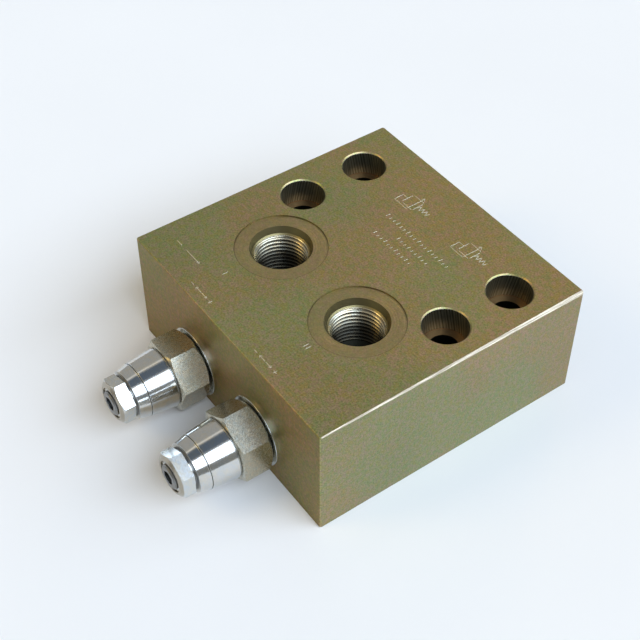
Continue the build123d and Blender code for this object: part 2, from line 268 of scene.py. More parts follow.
def noise_node(tree, place, per_metre, detail=2.0, roughness=0.5):
    """Cloudy noise between 0 and 1 with that many cells to the metre."""
    made = tree.nodes.new("ShaderNodeTexNoise")
    link(tree, place, made.inputs["Vector"])
    link(tree, per_metre, made.inputs["Scale"])
    link(tree, detail, made.inputs["Detail"])
    link(tree, roughness, made.inputs["Roughness"])
    return made.outputs["Fac"]


def blend_node(tree, amount, first, second, way="MIX"):
    """Mix two colours by an amount."""
    made = tree.nodes.new("ShaderNodeMix")
    made.data_type = "RGBA"
    made.blend_type = way
    link(tree, amount, made.inputs[0])
    link(tree, first, made.inputs[6])
    link(tree, second, made.inputs[7])
    return made.outputs[2]


def bump_node(tree, height, depth, normal=None):
    """Tilt the surface by a height between 0 and 1 that stands for that depth in metres."""
    made = tree.nodes.new("ShaderNodeBump")
    link(tree, 1.0, made.inputs["Strength"])
    link(tree, depth, made.inputs["Distance"])
    link(tree, height, made.inputs["Height"])
    if normal is not None:
        link(tree, normal, made.inputs["Normal"])
    return made.outputs[0]


print("surface helpers: ramp, step, band, noise, blend, bump")


# %% Helpers: groups and materials
def new_group(name, inputs, outputs):
    """An empty shader group. Inputs are {name: (kind, default)} and outputs are {name: kind}."""
    group = bpy.data.node_groups.new(name, "ShaderNodeTree")
    for plug, (kind, default) in inputs.items():
        made = group.interface.new_socket(plug, in_out="INPUT", socket_type="NodeSocket" + kind)
        if default is not None:
            made.default_value = default
    for plug, kind in outputs.items():
        group.interface.new_socket(plug, in_out="OUTPUT", socket_type="NodeSocket" + kind)
    start = group.nodes.new("NodeGroupInput")
    end = group.nodes.new("NodeGroupOutput")
    return group, start.outputs, end.inputs


def use_group(tree, group, **values):
    """Place a group in a tree. Each keyword is an input's name, with _ for a space."""
    made = tree.nodes.new("ShaderNodeGroup")
    made.node_tree = group
    for name, value in values.items():
        link(tree, value, made.inputs[name.replace("_", " ")])
    return made.outputs


def new_material(name, metallic=1.0):
    """A material with a bare Principled shader. Returns it with its tree, shader and Object coordinates."""
    material = bpy.data.materials.new(name)
    material.use_nodes = True
    tree = material.node_tree
    shader = tree.nodes["Principled BSDF"]
    shader.inputs["Metallic"].default_value = metallic
    place = tree.nodes.new("ShaderNodeTexCoord")
    return material, tree, shader, place.outputs["Object"]


print("tree helpers: group, place a group, material")

# %% [markdown]
# ## Plating clouds
#
# Zinc plate with a yellow passivate is never one colour: it drifts between olive, green and a pinkish tan
# in soft patches, with a finer speckle over them. One noise could drive one ramp of colours, but then
# green would always lie next to tan. Two noises that know nothing of each other give patches that overlap
# as real ones do. Several finishes use the effect, so it is a shader group that is built once.

# %% Group: plating clouds
plating, given, out = new_group(
    "plating clouds",
    {
        "Place": ("Vector", None),
        "Olive": ("Color", (0.3, 0.25, 0.12, 1)),
        "Green": ("Color", (0.2, 0.25, 0.12, 1)),
        "Tan": ("Color", (0.4, 0.28, 0.2, 1)),
        "Patches": ("Float", 300.0),
        "Speckle": ("Float", 0.12),
        "Drift": ("Float", 0.0),
    },
    {"Colour": "Color", "Cloud": "Float", "Speck": "Float"},
)
far_off = (0.31, 0.17, 0.23)
shifted = vector_node(plating, "ADD", given["Place"], far_off)
cloud = noise_node(plating, given["Place"], given["Patches"], 5.0, 0.68)
other = noise_node(plating, shifted, given["Patches"], 5.0, 0.68)
crystals = noise_node(plating, shifted, 1300.0, 2.0, 0.8)
speck = noise_node(plating, given["Place"], 1500.0, 3.0, 0.8)

# The crystals break up each patch's edge.
frayed = math_node(plating, "MULTIPLY", crystals, 0.45)
green_part = step_node(plating, math_node(plating, "ADD", cloud, frayed), 0.62, 0.84)
tan_part = step_node(plating, math_node(plating, "SUBTRACT", other, frayed), 0.20, 0.42)
colour = blend_node(plating, green_part, given["Olive"], given["Green"])
colour = blend_node(plating, tan_part, colour, given["Tan"])

# Lightness changes with the speck, and slowly over a few centimetres.
unevenness = math_node(plating, "MULTIPLY", math_node(plating, "SUBTRACT", speck, 0.5), given["Speckle"])
slow = math_node(plating, "SUBTRACT", noise_node(plating, shifted, 20.0), 0.5)
slow = math_node(plating, "MULTIPLY", slow, 0.24)
lightness = math_node(plating, "ADD", math_node(plating, "ADD", 1.0, unevenness), slow)
colour = vector_node(plating, "SCALE", colour, scale=lightness)

# Drift lets the hue wander slowly too, between a warmer and a greener tint.
slow_hue = step_node(plating, noise_node(plating, given["Place"], 26.0), 0.38, 0.62)
tint = blend_node(plating, slow_hue, (1.06, 0.96, 0.97, 1), (0.93, 1.03, 1.01, 1))
colour = blend_node(plating, given["Drift"], colour, tint, "MULTIPLY")
plating.links.new(colour, out["Colour"])
plating.links.new(cloud, out["Cloud"])
plating.links.new(speck, out["Speck"])
print(plating.name, len(plating.nodes), "nodes")

# %% [markdown]
# ## Grain
#
# Every real surface has a very fine roughness, left by blasting, grinding or the mould. A bump from fine
# noise gives it, and the same noise can steer the roughness value, so that the bumps and the dull spots
# agree.

# %% Group: grain
grain, given, out = new_group(
    "grain",
    {"Place": ("Vector", None), "Cells": ("Float", 2500.0), "Depth": ("Float", 4e-6)},
    {"Value": "Float", "Normal": "Vector"},
)
value = noise_node(grain, given["Place"], given["Cells"], 3.0, 0.65)
grain.links.new(value, out["Value"])
grain.links.new(bump_node(grain, value, given["Depth"]), out["Normal"])
print(grain.name, len(grain.nodes), "nodes")


def add_grain(tree, shader, place, cells, depth, smooth, rough):
    """Give a shader the grain's normal and a roughness that follows it. Returns the grain's value."""
    fine = use_group(tree, grain, Place=place, Cells=cells, Depth=depth)
    tree.links.new(fine["Normal"], shader.inputs["Normal"])
    tree.links.new(step_node(tree, fine["Value"], 0.3, 0.7, smooth, rough), shader.inputs["Roughness"])
    return fine["Value"]


# %% [markdown]
# ## Lathe lines
#
# A turning tool leaves fine rings, finer than the eye can count. A bump would average them to nothing,
# and the surface would look smooth. So this group tilts the normal itself, back and forth along one
# direction, which smears each light across the rings as real turning does.

# %% Group: lathe lines
lathe, given, out = new_group(
    "lathe lines",
    {
        "Along": ("Float", 0.0),
        "Lines": ("Float", 3000.0),
        "Direction": ("Vector", (0, 1, 0)),
        "Tilt": ("Float", 0.05),
    },
    {"Value": "Float", "Normal": "Vector"},
)
value = noise_node(lathe, join_node(lathe, given["Along"], 0.0, 0.0), given["Lines"], 3.0, 0.7)
flat_normal = lathe.nodes.new("ShaderNodeNewGeometry").outputs["Normal"]
slope = math_node(lathe, "MULTIPLY", math_node(lathe, "SUBTRACT", value, 0.5), 2.0)
slope = math_node(lathe, "MULTIPLY", slope, given["Tilt"])
tilted = vector_node(lathe, "ADD", flat_normal, vector_node(lathe, "SCALE", given["Direction"], scale=slope))
lathe.links.new(value, out["Value"])
lathe.links.new(vector_node(lathe, "NORMALIZE", tilted), out["Normal"])
print(lathe.name, len(lathe.nodes), "nodes")


# %% [markdown]
# ## The block's finish
#
# The block is sawn and milled bar, zinc plated and yellow passivated. One material covers it, and picks
# out its zones by where a point lies: the flat outside, the turned spotface round each port, the drilled
# walls of the holes, and the right top edge, where the plate was ground away to bare steel. Separate
# materials for the zones would need the CAD mesh to be cut up, and the CAD mesh stays as it is.

# %% Zones of the block
def block_zones(tree, x, y, z, from_port, from_bolt):
    """Masks between 0 and 1, one for each kind of cut in the block."""
    port = vector_node(tree, "LENGTH", from_port)
    bolt = vector_node(tree, "LENGTH", from_bolt)
    above = step_node(tree, z, spotface_z - 0.04 * mm, spotface_z)
    below = step_node(tree, z, spotface_z - 0.04 * mm, spotface_z, 1.0, 0.0)
    zones = {}
    spotface = between(tree, port, mouth_radius, spotface_radius, 0.03 * mm)
    zones["spotface"] = math_node(tree, "MULTIPLY", spotface, above)
    # The rim mask carries painted shade: a dark ring along the spotface's edge, where its wall is in shadow.
    rim = between(tree, port, spotface_radius - 0.17 * mm, spotface_radius + 0.23 * mm, 0.08 * mm)
    near_top = step_node(tree, z, top_z - 0.6 * mm, top_z - 0.5 * mm)
    zones["rim"] = math_node(tree, "MULTIPLY", rim, near_top)

    # The mouth of a port is a cone. Its zone ends 10 mm up, so that the underside stays plain.
    cone = step_node(tree, port, mouth_radius + 0.2 * mm, mouth_radius + 0.4 * mm, 1.0, 0.0)
    cone = math_node(tree, "MULTIPLY", cone, below)
    zones["cone"] = math_node(tree, "MULTIPLY", cone, step_node(tree, z, 10.0 * mm, 11.0 * mm))

    # A counterbore's wall goes down to its ledge, and the bolt's own bore goes on from there.
    wall_out = counterbore_radius + 0.25 * mm
    wall = step_node(tree, bolt, wall_out, wall_out + 0.1 * mm, 1.0, 0.0)
    wall = math_node(tree, "MULTIPLY", wall, below)
    down_to_ledge = step_node(tree, z, ledge_z - 0.4 * mm, ledge_z - 0.2 * mm)
    zones["counterbore"] = math_node(tree, "MULTIPLY", wall, down_to_ledge)
    ledge = step_node(tree, z, ledge_z + 0.1 * mm, ledge_z + 0.2 * mm, 1.0, 0.0)
    zones["ledge"] = math_node(tree, "MULTIPLY", zones["counterbore"], ledge)
    # The bore mask carries painted shade: the bolt's bore is painted nearly black.
    zones["bore"] = step_node(tree, bolt, bore_radius - 0.08 * mm, bore_radius, 1.0, 0.0)

    # The ground edge: how far a point stands beyond the plane of the bevel, which widens towards the back.
    leg = range_node(tree, y, block_low.y, block_high.y, 0.35 * mm, 1.15 * mm)
    beyond = math_node(tree, "SUBTRACT", math_node(tree, "ADD", x, z), block_high.x + top_z)
    zones["ground"] = step_node(tree, math_node(tree, "ADD", beyond, leg), -0.06 * mm, -0.01 * mm)
    # The front and right masks carry painted shade on those two sides of the block.
    zones["front"] = step_node(tree, y, block_low.y + 0.02 * mm, block_low.y + 0.3 * mm, 1.0, 0.0)
    zones["right"] = step_node(tree, x, block_high.x - 0.3 * mm, block_high.x - 0.02 * mm)
    return zones, port


def drill_marks(tree, z, from_bolt):
    """Slanting marks on a hole's wall: noise over a faint sine, along height * slant + angle * radius."""
    slant, spacing = 0.18, 1.1 * mm
    level = split_node(tree, from_bolt)
    around = math_node(tree, "ARCTAN2", level["Y"], level["X"])
    round_wall = math_node(tree, "MULTIPLY", around, counterbore_radius)
    slanting = math_node(tree, "ADD", math_node(tree, "MULTIPLY", z, slant), round_wall)
    chatter = math_node(tree, "SINE", math_node(tree, "MULTIPLY", slanting, 2 * pi / spacing))
    hatch = noise_node(tree, join_node(tree, slanting, 0.0, 0.0), 1500.0, 2.0, 0.7)
    return math_node(tree, "ADD", math_node(tree, "MULTIPLY", chatter, 0.09), hatch)


# %% Material: plated block
def plated_block():
    """Passivated zinc plate, with turned spotfaces, drilled hole walls and one ground edge."""
    material, tree, shader, place = new_material("plated block")
    x, y, z = split_node(tree, place)

    # A port or a bolt hole is a circle in the level plane, mirrored across the block.
    beside = math_node(tree, "ABSOLUTE", x)
    from_port = round_axis(tree, beside, y, port_x, port_y)
    from_bolt = round_axis(tree, beside, math_node(tree, "ABSOLUTE", y), bolt_x, bolt_y)
    zones, port = block_zones(tree, x, y, z, from_port, from_bolt)
    clouds = use_group(
        tree,
        plating,
        Place=place,
        Olive=(0.405, 0.350, 0.130, 1),
        Green=(0.325, 0.355, 0.155, 1),
        Tan=(0.445, 0.345, 0.220, 1),
        Patches=470.0,
        Speckle=1.9,
        Drift=1.0,
    )

    # Painted shade: the front is painted browner and darker than the top, and the right side greyer and
    # darker.
    colour = blend_node(tree, zones["front"], clouds["Colour"], (0.68, 0.57, 0.45, 1), "MULTIPLY")
    colour = blend_node(tree, zones["right"], colour, (0.85, 0.835, 0.90, 1), "MULTIPLY")

    # Then each cut is painted over the plate, the later ones over the earlier ones.
    hatch = drill_marks(tree, z, from_bolt)
    drilled = step_node(tree, hatch, 0.35, 0.65)
    drilled = blend_node(tree, drilled, (0.15, 0.15, 0.10, 1), (0.36, 0.355, 0.265, 1))
    # Painted shade: the port's cone and floor darken to nearly black further down.
    cone_depth_shade = step_node(tree, z, top_z - 12.0 * mm, top_z - 3.6 * mm)
    cone = blend_node(tree, cone_depth_shade, (0.02, 0.02, 0.015, 1), (0.23, 0.195, 0.095, 1))
    streak = noise_node(tree, vector_node(tree, "MULTIPLY", place, (2600.0, 90.0, 2600.0)), 1.0, 3.0, 0.6)
    bare = step_node(tree, streak, 0.3, 0.7)
    bare = blend_node(tree, bare, (0.24, 0.20, 0.145, 1), (0.56, 0.49, 0.375, 1))
    for amount, paint in (
        (math_node(tree, "MULTIPLY", zones["spotface"], 0.5), (0.410, 0.320, 0.170, 1)),
        (zones["cone"], cone),
        (zones["counterbore"], drilled),
        (zones["ledge"], (0.27, 0.165, 0.09, 1)),
        # Painted shade: the bolt's bore, painted nearly black.
        (zones["bore"], (0.07, 0.06, 0.04, 1)),
        # Painted shade: a dark ring round each spotface's edge.
        (math_node(tree, "MULTIPLY", zones["rim"], 0.5), (0.12, 0.10, 0.06, 1)),
        (zones["ground"], bare),
    ):
        colour = blend_node(tree, amount, colour, paint)
    tree.links.new(colour, shader.inputs["Base Color"])

    # The plate is duller where it is speckled and on the sawn front, and shinier where it was turned.
    rough = step_node(tree, clouds["Speck"], 0.35, 0.65, 0.38, 0.48)
    rough = math_node(tree, "SUBTRACT", rough, math_node(tree, "MULTIPLY", zones["spotface"], 0.08))
    rough = math_node(tree, "ADD", rough, math_node(tree, "MULTIPLY", zones["front"], 0.10))
    tree.links.new(rough, shader.inputs["Roughness"])

    # Turned rings tilt the spotface outwards and inwards, mirrored on the left of the block as the place is.
    outwards = vector_node(tree, "NORMALIZE", from_port)
    outwards = vector_node(tree, "MULTIPLY", outwards, join_node(tree, math_node(tree, "SIGN", x), 1.0, 1.0))
    ring_tilt = math_node(tree, "MULTIPLY", zones["spotface"], 1.3)
    rings = use_group(tree, lathe, Along=port, Lines=2600.0, Direction=outwards, Tilt=ring_tilt)

    # One bump carries the rest: grain, clouds, grinding streaks and drill marks, each in units of its depth.
    fine = use_group(tree, grain, Place=place, Cells=2700.0, Depth=5e-6)
    height = math_node(tree, "MULTIPLY", fine["Value"], 1.2)
    marks = math_node(tree, "MULTIPLY", hatch, math_node(tree, "MULTIPLY", zones["counterbore"], 6.0))
    for layer in (
        math_node(tree, "MULTIPLY", clouds["Cloud"], 2.2),
        math_node(tree, "MULTIPLY", streak, zones["ground"]),
        marks,
    ):
        height = math_node(tree, "ADD", height, layer)
    tree.links.new(bump_node(tree, height, 6e-6, rings["Normal"]), shader.inputs["Normal"])
    return material


block_finish = plated_block()
print(block_finish.name, len(block_finish.node_tree.nodes), "nodes")


# %% [markdown]
# ## Satin zinc
#
# The large hexagons are ground bar with a thin zinc plate: a warm grey metal with a close speckle. The
# same clouds serve, with three greys that lie close together in place of olive, green and tan.

# %% Material: satin zinc on the large hexagons
def satin_zinc():
    """Thin zinc plate on a ground hexagon: warm grey metal with a close speckle."""
    material, tree, shader, place = new_material("satin zinc")
    clouds = use_group(
        tree,
        plating,
        Place=place,
        Olive=(0.53, 0.50, 0.40, 1),
        Green=(0.48, 0.49, 0.43, 1),
        Tan=(0.57, 0.51, 0.39, 1),
        Patches=620.0,
        Speckle=1.7,
    )
    tree.links.new(clouds["Colour"], shader.inputs["Base Color"])
    add_grain(tree, shader, place, 3800.0, 4e-6, 0.20, 0.32)
    return material


hexagon_finish = satin_zinc()
print(hexagon_finish.name, len(hexagon_finish.node_tree.nodes), "nodes")


# %% [markdown]
# ## Bright zinc
#
# The lock nuts and washers are pressed and then plated bright: smooth, bluish flats, which show the
# lights almost as a mirror does. The nut's outer end is given a browner, darker colour. A mask along the
# cartridge's axis is enough to say where that end begins.

# %% Material: bright zinc on the lock nuts and washers
def bright_zinc():
    """Bright zinc on a cold-formed nut: smooth, bluish flats and a browner, darker outer end."""
    material, tree, shader, place = new_material("bright zinc")
    y = split_node(tree, place)["Y"]
    clouds = use_group(
        tree,
        plating,
        Place=place,
        Olive=(0.68, 0.70, 0.70, 1),
        Green=(0.64, 0.69, 0.72, 1),
        Tan=(0.72, 0.71, 0.65, 1),
        Patches=420.0,
        Speckle=0.10,
    )
    outer_end = step_node(tree, y, nut_front + 0.75 * mm, nut_front + 1.05 * mm, 1.0, 0.0)
    colour = blend_node(tree, outer_end, clouds["Colour"], (0.40, 0.36, 0.29, 1))
    tree.links.new(colour, shader.inputs["Base Color"])
    add_grain(tree, shader, place, 2400.0, 1.6e-6, 0.13, 0.20)
    return material


nut_finish = bright_zinc()
print(nut_finish.name, len(nut_finish.node_tree.nodes), "nodes")


# %% [markdown]
# ## Turned steel
#
# The bonnets are turned and polished, and the pieces inside are turned and left plain. All of them show
# rings square to the cartridge's axis, so one function makes them all, each with its own tone and polish.
# The surface also waves by about a hundredth of a millimetre, which bends the lights that it mirrors.

# %% Material: turned steel
def turned_steel(name, tone, roughness, tilt, groove=False):
    """A turned surface with faint rings square to the cartridge's axis, and painted shade in its groove if
    it has one.
    """
    material, tree, shader, place = new_material(name)
    y = split_node(tree, place)["Y"]
    clouds = use_group(
        tree,
        plating,
        Place=place,
        Olive=(tone, tone, tone * 0.98, 1),
        Green=(tone * 0.94, tone * 0.98, tone, 1),
        Tan=(tone * 1.02, tone * 0.99, tone * 0.90, 1),
        Patches=260.0,
        Speckle=0.22,
    )
    rings = use_group(tree, lathe, Along=y, Lines=1900.0, Tilt=tilt)
    colour = clouds["Colour"]
    rough = step_node(tree, rings["Value"], 0.3, 0.7, roughness * 0.8, roughness * 1.3)
    if groove:
        # Painted shade: the waist groove is painted dark.
        wall = 0.02 * mm
        start, end = bonnet_front + groove_start - wall, bonnet_front + groove_end + wall
        groove_shade = between(tree, y, start, end, 0.04 * mm)
        colour = blend_node(tree, groove_shade, colour, (0.16, 0.15, 0.13, 1))
        end_face = step_node(tree, y, bonnet_front + 0.02 * mm, bonnet_front + 0.08 * mm, 1.0, 0.0)
        rough = math_node(tree, "ADD", rough, math_node(tree, "MULTIPLY", end_face, 0.3))
    tree.links.new(colour, shader.inputs["Base Color"])
    tree.links.new(rough, shader.inputs["Roughness"])
    waves = noise_node(tree, place, 1700.0, 2.0, 0.6)
    tree.links.new(bump_node(tree, waves, 11e-6, rings["Normal"]), shader.inputs["Normal"])
    return material


turned_finishes = {
    "polished_steel": turned_steel("polished steel", 0.66, 0.12, 0.14, groove=True),
    "plain_steel": turned_steel("plain steel", 0.42, 0.36, 0.12),
    "hard_steel": turned_steel("hard steel", 0.58, 0.18, 0.06),
    "spring_steel": turned_steel("spring steel", 0.32, 0.35, 0.10),
    "dark_steel": turned_steel("dark steel", 0.24, 0.30, 0.15),
}
print(len(turned_finishes), "turned finishes")


# %% [markdown]
# ## Seals
#
# The O-rings and lips are moulded rubber, and the back-up rings are a white plastic. A moulded surface
# copies its mould's fine texture, so a darker and a lighter tone of one colour follow the grain.

# %% Material: rubber and plastic seals
def seal_material(name, colour, smooth, rough):
    """A moulded seal: a dull surface with a faint orange-peel texture."""
    material, tree, shader, place = new_material(name, metallic=0.0)
    fine = add_grain(tree, shader, place, 1800.0, 8e-6, smooth, rough)
    dark = tuple(part * 0.7 for part in colour)
    tree.links.new(blend_node(tree, fine, (*dark, 1), (*colour, 1)), shader.inputs["Base Color"])
    return material


seal_finishes = {
    "rubber": seal_material("rubber", (0.03, 0.03, 0.03), 0.45, 0.57),
    "white_plastic": seal_material("white plastic", (0.8, 0.8, 0.76), 0.40, 0.52),
}
print(len(seal_finishes), "seal finishes")

# %% [markdown]
# ## Every CAD piece gets its finish
#
# The record names a material slot for each piece, so one table of slots serves nearly all of them. Two
# kinds of piece look different from the rest of their slot: the large hexagons are satin, and the washer
# under the lock nut is dark. Colours could be set piece by piece, but a table shows which pieces share a
# finish.

# %% Give every CAD node its finish
finishes = {"plated_block": block_finish, "bright_zinc": nut_finish} | turned_finishes | seal_finishes
own_finishes = {"cartridge_body": hexagon_finish, "nut_washer": finishes["dark_steel"]}
for entry in frame["record"]["subparts"]:
    piece = nodes[entry["node"]]
    family = entry["node"].removesuffix("_a").removesuffix("_b")
    piece.data.materials.clear()
    piece.data.materials.append(own_finishes.get(family, finishes[entry["material_slot"]]))


# %% [markdown]
# ## The thread in each port
#
# The CAD hole is a plain cylinder at the thread's outer radius. The thread itself is a sleeve that lies
# against that wall: its outside is a plain cylinder, and its inside is the real 55 degree form, cut as
# one continuous helix. The lead-in chamfer cuts the first turn away, so the sleeve starts as a bright
# cone and the first crest grows out of it. A helix of separate rings would look right from far off, but
# it has no start and no run-in, so the true formula is used.

# %% Port threads
def port_thread(name, axis_x):
    """An internal thread sleeve.

    The radius at angle a and height z is crest + depth * wave, where wave rises and falls in nearly straight
    flanks with rounded ends as (z / pitch - a / turn) runs through one turn. A 45 degree cone limits it at
    the mouth: the radius is never less than the wall's radius minus the distance below the mouth.
    """
    pitch = 25.4 * mm / 14
    wall = thread_radius - 0.01 * mm
    root = wall - 0.02 * mm
    groove_angle, groove_z = radians(144), 45.8 * mm
    flat, straight_share = 0.12, 0.65
    turns = np.linspace(0, 2 * pi, 160, endpoint=False)
    inside_z = thread_top - np.linspace(0, 1, 220) * (thread_length - 0.1 * mm)
    a, z = np.meshgrid(turns, inside_z, indexing="ij")
    phase = ((z - groove_z) / pitch - (a - groove_angle) / (2 * pi)) % 1.0
    flank = np.abs(phase - 0.5) * 2
    straight = np.clip((flank - flat) / (1 - 2 * flat), 0, 1)
    rounded = 0.5 - 0.5 * np.cos(pi * straight)
    wave = straight_share * straight + (1 - straight_share) * rounded
    cone = wall - (thread_top - z)
    inside = np.minimum(np.maximum(thread_crest + (root - thread_crest) * wave, cone), root)
    outside_a, outside_z = np.meshgrid(turns, inside_z[[-1, 0]], indexing="ij")
    a = np.concatenate([a, outside_a], axis=1)
    z = np.concatenate([z, outside_z], axis=1)
    r = np.concatenate([inside, np.full_like(outside_a, wall)], axis=1)
    points = np.stack([axis_x + r * np.cos(a), port_y + r * np.sin(a), z], axis=-1)
    return add_mesh(name, points.reshape(-1, 3), ring_faces(*a.shape))


# %% Material: cut thread
def thread_finish():
    """The cut thread, with painted shade: darker further down the hole, and nearly black in the thread's
    roots.
    """
    material, tree, shader, place = new_material("cut thread")
    x, y, z = split_node(tree, place)
    from_axis = round_axis(tree, math_node(tree, "ABSOLUTE", x), y, port_x, port_y)
    radius = vector_node(tree, "LENGTH", from_axis)
    root = step_node(tree, radius, thread_crest + 0.2 * mm, thread_crest + 0.8 * mm)
    below_mouth = step_node(tree, z, thread_top - 0.85 * mm, thread_top - 0.6 * mm, 1.0, 0.0)
    root = math_node(tree, "MULTIPLY", root, below_mouth)
    clouds = use_group(
        tree,
        plating,
        Place=place,
        Olive=(0.62, 0.57, 0.42, 1),
        Green=(0.56, 0.56, 0.46, 1),
        Tan=(0.66, 0.55, 0.36, 1),
        Patches=300.0,
        Speckle=0.5,
    )
    # Painted shade: the thread darkens to nearly black further down the hole.
    thread_depth_shade = range_node(tree, z, thread_top - 9.0 * mm, thread_top - 0.6 * mm, 0.06, 0.95)
    colour = vector_node(tree, "SCALE", clouds["Colour"], scale=thread_depth_shade)
    # Painted shade: the thread's roots are painted nearly black.
    colour = blend_node(tree, math_node(tree, "MULTIPLY", root, 0.85), colour, (0.02, 0.018, 0.014, 1))
    tree.links.new(colour, shader.inputs["Base Color"])
    add_grain(tree, shader, place, 3000.0, 5e-6, 0.22, 0.32)
    return material


cut_thread = thread_finish()
for side, name in ((-1, "port_thread_a"), (1, "port_thread_b")):
    finish_piece(port_thread(name, side * port_x), "valve", cut_thread)


# %% [markdown]
# ## The springs
#
# Each spring is shut inside its bonnet between the poppet's cap and the follower, and both of those move.
# The coil is made again in two halves that meet in the middle: the first at the poppet's cap, and the
# second at the follower.

# %% Springs
def spring_half(name, side, first, last):
    """Part of a compression spring, from one fraction of its length to another, and the middles of its ends.

    The wire's centre is a helix: its angle is turns * t and it goes along the axis in step with t. Round it
    the section is a circle: out by wire * cos(v) and along the axis by wire * sin(v).
    """
    low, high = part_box("spring_" + side)
    axis = (low + high) / 2
    wire = 0.85 * mm
    coil = (high.x - low.x) / 2 - wire
    turns = 4 * 2 * pi
    cap_y = high.y - wire
    length = low.y + wire - cap_y

    def place(t, out, along):
        """Points at a fraction t of the length, that far outside the wire's centre and along the axis."""
        x = axis.x + (coil + out) * np.cos(turns * t)
        z = axis.z + (coil + out) * np.sin(turns * t)
        return np.stack([x, cap_y + length * t + along, z], axis=-1)

    t = np.linspace(first, last, 100)
    v = np.linspace(0, 2 * pi, 14, endpoint=False)
    t_grid, v_grid = np.meshgrid(t, v, indexing="ij")
    tube = place(t_grid, wire * np.cos(v_grid), wire * np.sin(v_grid))
    poles = place(t[[0, -1]], 0.0, 0.0)
    made = add_mesh(name, np.concatenate([tube.reshape(-1, 3), poles]), tube_faces(*t_grid.shape))
    made.data.materials.append(finishes["spring_steel"])
    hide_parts("spring_" + side)
    return made, [(axis.x, cap_y + length * part, axis.z) for part in (first, last)]


for side in ("a", "b"):
    cap_half, (start, end) = spring_half("spring_cap_half_" + side, side, 0.0, 0.5)
    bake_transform(cap_half)
    follower_half, (start, end) = spring_half("spring_follower_half_" + side, side, 0.5, 1.0)
    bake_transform(follower_half)


# %% [markdown]
# ## Rounded edges on the turned pieces
#
# A turned piece never keeps a sharp edge: it is rolled over or stoned off, and the small round catches a
# glint of every lamp in the room. The CAD edges are sharp, so each gets a thin ring whose section is a
# circle. A bevel of the CAD mesh would do the same, but that mesh is fixed, so the round is a piece of
# its own.

# %% Rings along the cartridges' edges
def edge_ring(axis, y, radius, round_radius):
    """A torus about a cartridge's axis, as points and faces.

    It is a circle carried round: out from the axis by radius + round * cos(v), along it by round * sin(v).
    """
    turns = np.linspace(0, 2 * pi, 128, endpoint=False)
    section = np.linspace(0, 2 * pi, 10, endpoint=False)
    u, v = np.meshgrid(turns, section, indexing="ij")
    out = radius + round_radius * np.cos(v)
    x = axis.x + out * np.cos(u)
    z = axis.z + out * np.sin(u)
    points = np.stack([x, y + round_radius * np.sin(v), z], axis=-1).reshape(-1, 3)

    # The corners are taken backwards, so that the faces point outwards.
    return points, ring_faces(*u.shape)[:, ::-1]


def rounded_edges(side):
    """The rounded edges of one cartridge's washer, bonnet ring and waist groove, in one mesh."""
    washer_low, washer_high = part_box("sealing_washer_" + side)
    ring_low, ring_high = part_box("bonnet_ring_" + side)
    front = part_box("bonnet_" + side)[0].y
    axis = (washer_low + washer_high) / 2
    sunk = 0.1 * mm
    edges = (
        (washer_low.y, (washer_high.x - washer_low.x) / 2),
        (ring_low.y, (ring_high.x - ring_low.x) / 2),
        (front + groove_end, 10.9 * mm),
        (front + groove_start, 10.7 * mm),
    )
    points, faces = [], []
    for y, radius in edges:
        ring, quads = edge_ring(axis, y + sunk, radius - sunk, 0.16 * mm)
        faces += list(quads + sum(len(part) for part in points))
        points.append(ring)
    return add_mesh("rounded_edges_" + side, np.concatenate(points), faces)


for side in ("a", "b"):
    finish_piece(rounded_edges(side), "valve", finishes["bright_zinc"])


# %% [markdown]
# ## Scribed marks
#
# The maker engraves the block with an electric pencil, which throws up a thin bright burr of bare steel.
# Here the marks are plain signs: one bar and two bars for the two ports, a minus, an arrow and a plus for
# each adjusting screw, a dash and an arrow, rows of tally strokes, and the standard sign for a relief
# valve, drawn twice because the block holds two. Each stroke is a lens-shaped bead carried along its
# path. The material could paint it instead, but a real burr stands proud and catches the light, so it is
# made as a surface.

# %% Strokes of the burr
def stroke(path):
    """One bead along a path of (x, y) points in millimetres, as a tube of points and its two ends.

    The section is a lens: half = width * sin(u), height = thickness * cos(u) above the middle line, for u in
    a full turn. The width and thickness fall to nothing at both ends of the path, as v * (1 - v) does.
    """
    width, thickness, steps_each = 0.17 * mm, 0.07 * mm, 6
    path = np.asarray(path, dtype=float) * mm
    steps = np.linspace(0, len(path) - 1, steps_each * (len(path) - 1) + 1)
    corner = np.arange(len(path))
    along = np.stack([np.interp(steps, corner, path[:, 0]), np.interp(steps, corner, path[:, 1])], axis=-1)
    ahead = np.gradient(along, axis=0)
    ahead /= np.linalg.norm(ahead, axis=1, keepdims=True)
    v = np.linspace(0, 1, len(along))
    size = np.clip(12 * v * (1 - v), 0, 1) ** 0.5
    u = np.linspace(0, 2 * pi, 8, endpoint=False)
    half = width * np.outer(size, np.sin(u))
    height = thickness * np.outer(size, np.cos(u))
    x = along[:, :1] + half * ahead[:, 1:]
    y = along[:, 1:] - half * ahead[:, :1]
    return np.stack([x, y, top_z + height], axis=-1)[1:-1], along[[0, -1]]


def engraving(name, paths):
    """One mesh of many strokes."""
    points, faces, start = [], [], 0
    for path in paths:
        tube, ends = stroke(path)
        rows, columns = tube.shape[:2]
        poles = np.column_stack([ends, np.full(2, top_z)])
        points += [tube.reshape(-1, 3), poles]
        faces += [face + start for face in tube_faces(rows, columns)]
        start += rows * columns + 2
    return add_mesh(name, np.concatenate(points), faces)


print("a straight stroke has", stroke([(0, 0), (1, 0)])[0].shape[0], "sections")


# %% Signs, as paths in millimetres from the block's origin
def box_sign(x, y, size):
    """An upright square round a middle point, as four strokes."""
    h = size / 2
    corners = [(x - h, y - h), (x + h, y - h), (x + h, y + h), (x - h, y + h)]
    return [[start, end] for start, end in zip(corners, corners[1:] + corners[:1])]


